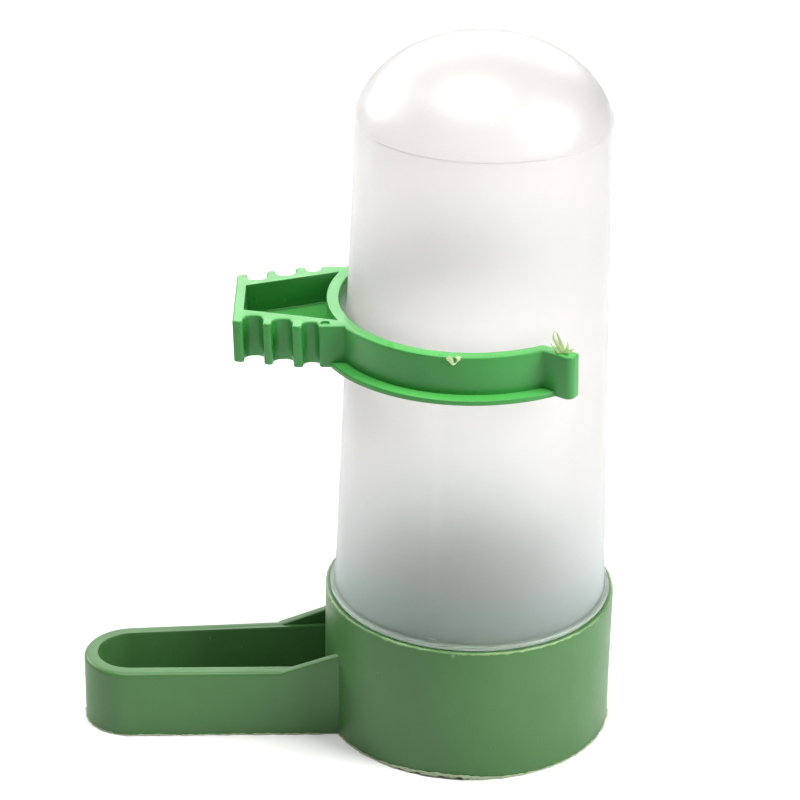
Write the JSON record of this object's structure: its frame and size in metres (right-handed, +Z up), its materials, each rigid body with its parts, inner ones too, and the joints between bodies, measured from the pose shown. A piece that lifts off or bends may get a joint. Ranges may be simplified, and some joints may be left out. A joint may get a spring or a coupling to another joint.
{
  "type": "poultry waterer fount",
  "caption": "Gravity drinker for cage birds: a domed frosted bottle stands mouth down in a green cup with a narrow trough, and a grooved clip round the bottle holds it to cage wires.",
  "frame": {"origin": "on the bottle's axis, at the underside of the base", "axes": "+Z up along the bottle's axis, the trough and the clip's wedge point along -X, +Y is the third axis"},
  "size_m": [0.1006, 0.0578, 0.1329],
  "materials": {
    "dark_green_plastic": "satin moulded polypropylene with a fine matt skin",
    "frosted_clear_plastic": "translucent natural polypropylene, frosted body and glossy dome",
    "light_green_plastic": "soft gloss moulded polypropylene"
  },
  "bodies": {
    "base": {"trough_base": "dark_green_plastic"},
    "bottle": {"bottle": "frosted_clear_plastic"},
    "clip": {"cage_clip": "light_green_plastic"}
  },
  "joints": [
    {"name": "bottle_lift", "type": "slide", "parent": "base", "child": "bottle", "axis": [0, 0, 1], "range_m": [0, 0.03]},
    {"name": "clip_slide", "type": "slide", "parent": "bottle", "child": "clip", "axis": [0, 0, 1], "range_m": [0, 0.06]}
  ]
}
